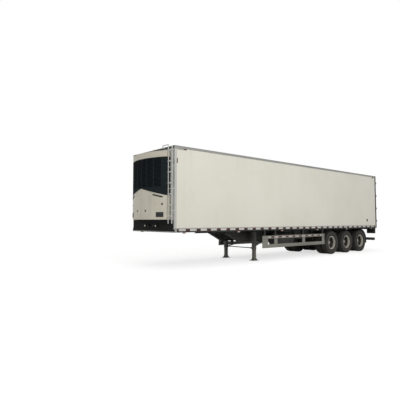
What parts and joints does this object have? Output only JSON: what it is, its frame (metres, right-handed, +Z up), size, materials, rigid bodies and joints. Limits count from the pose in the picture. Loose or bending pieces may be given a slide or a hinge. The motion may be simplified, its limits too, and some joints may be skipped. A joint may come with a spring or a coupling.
{
  "type": "refrigerated semi-trailer",
  "caption": "Refrigerated box semi-trailer with a front-mounted cooling unit, twin-tyred axles, hinged rear doors, side guards and landing legs let down to the ground.",
  "frame": {"origin": "on the ground, below the middle of the trailer's box", "axes": "+X forward towards the cooling unit, +Y to the trailer's left, +Z up"},
  "size_m": [14.136, 2.6, 4.0555],
  "materials": {
    "panel_white": "smooth cream-white gel coat",
    "rail_alloy": "weathered mill finish",
    "floor_alloy": "worn mill finish",
    "front_black": "satin black",
    "frame_steel": "brushed stainless",
    "gear_steel": "galvanised",
    "hinge_dark": "satin black",
    "unit_black": "satin moulding",
    "unit_white": "white moulding",
    "ladder_alloy": "plain tube",
    "chassis_black": "dusty chassis paint",
    "kingpin_steel": "greased machined steel",
    "leg_grey": "worn grey paint",
    "guard_alloy": "anodised",
    "spring_rubber": "dusty rubber",
    "tyre_rubber": "dusty rubber",
    "wheel_paint": "dusty grey paint",
    "mudguard_plastic": "grained moulding",
    "lamp_red": "clear moulded lens",
    "air_tank_paint": "satin grey"
  },
  "bodies": {
    "trailer": {"wall_left": "panel_white", "wall_right": "panel_white", "wall_front": "panel_white", "roof": "panel_white", "top_rails": "rail_alloy", "bottom_rails": "rail_alloy", "front_posts": "rail_alloy", "floor": "floor_alloy", "front_panel": "front_black", "rear_frame": "frame_steel", "hinge_brackets": "hinge_dark", "unit_body": "unit_black", "unit_grille": "unit_black", "unit_fittings": "unit_black", "unit_cap": "unit_white", "unit_doors": "unit_white", "ladder": "ladder_alloy", "main_beam_left": "chassis_black", "main_beam_right": "chassis_black", "crossmembers": "chassis_black", "coupler_plate": "chassis_black", "landing_brackets": "chassis_black", "guard_hangers": "chassis_black", "suspension_hangers": "chassis_black", "trailing_arms": "chassis_black", "axles": "chassis_black", "rear_bumper": "chassis_black", "kingpin": "kingpin_steel", "landing_legs": "leg_grey", "landing_feet": "leg_grey", "landing_gearbox": "leg_grey", "side_guard_left": "guard_alloy", "side_guard_right": "guard_alloy", "air_springs": "spring_rubber", "mudguards": "mudguard_plastic", "tail_lamps": "mudguard_plastic", "marker_lamps": "lamp_red", "air_tanks": "air_tank_paint", "fuel_tank": "air_tank_paint"},
    "left_door": {"door_left": "panel_white", "door_gear_left": "gear_steel"},
    "right_door": {"door_right": "panel_white", "door_gear_right": "gear_steel"},
    "twin_1_left": {"tyres_1_left": "tyre_rubber", "wheel_1_left": "wheel_paint"},
    "twin_1_right": {"tyres_1_right": "tyre_rubber", "wheel_1_right": "wheel_paint"},
    "twin_2_left": {"tyres_2_left": "tyre_rubber", "wheel_2_left": "wheel_paint"},
    "twin_2_right": {"tyres_2_right": "tyre_rubber", "wheel_2_right": "wheel_paint"},
    "twin_3_left": {"tyres_3_left": "tyre_rubber", "wheel_3_left": "wheel_paint"},
    "twin_3_right": {"tyres_3_right": "tyre_rubber", "wheel_3_right": "wheel_paint"}
  },
  "joints": [
    {"name": "left_door_hinge", "type": "hinge", "parent": "trailer", "child": "left_door", "pos_m": [-7.052, 1.284, 2.583], "axis": [0, 0, -1], "range_deg": [0, 270]},
    {"name": "right_door_hinge", "type": "hinge", "parent": "trailer", "child": "right_door", "pos_m": [-7.052, -1.284, 2.583], "axis": [0, 0, 1], "range_deg": [0, 270]},
    {"name": "twin_1_left_spin", "type": "hinge", "parent": "trailer", "child": "twin_1_left", "pos_m": [-2.632, 0.92, 0.542], "axis": [0, 1, 0], "continuous": true},
    {"name": "twin_1_right_spin", "type": "hinge", "parent": "trailer", "child": "twin_1_right", "pos_m": [-2.632, -0.92, 0.542], "axis": [0, 1, 0], "continuous": true},
    {"name": "twin_2_left_spin", "type": "hinge", "parent": "trailer", "child": "twin_2_left", "pos_m": [-3.972, 0.92, 0.542], "axis": [0, 1, 0], "continuous": true},
    {"name": "twin_2_right_spin", "type": "hinge", "parent": "trailer", "child": "twin_2_right", "pos_m": [-3.972, -0.92, 0.542], "axis": [0, 1, 0], "continuous": true},
    {"name": "twin_3_left_spin", "type": "hinge", "parent": "trailer", "child": "twin_3_left", "pos_m": [-5.312, 0.92, 0.542], "axis": [0, 1, 0], "continuous": true},
    {"name": "twin_3_right_spin", "type": "hinge", "parent": "trailer", "child": "twin_3_right", "pos_m": [-5.312, -0.92, 0.542], "axis": [0, 1, 0], "continuous": true}
  ]
}
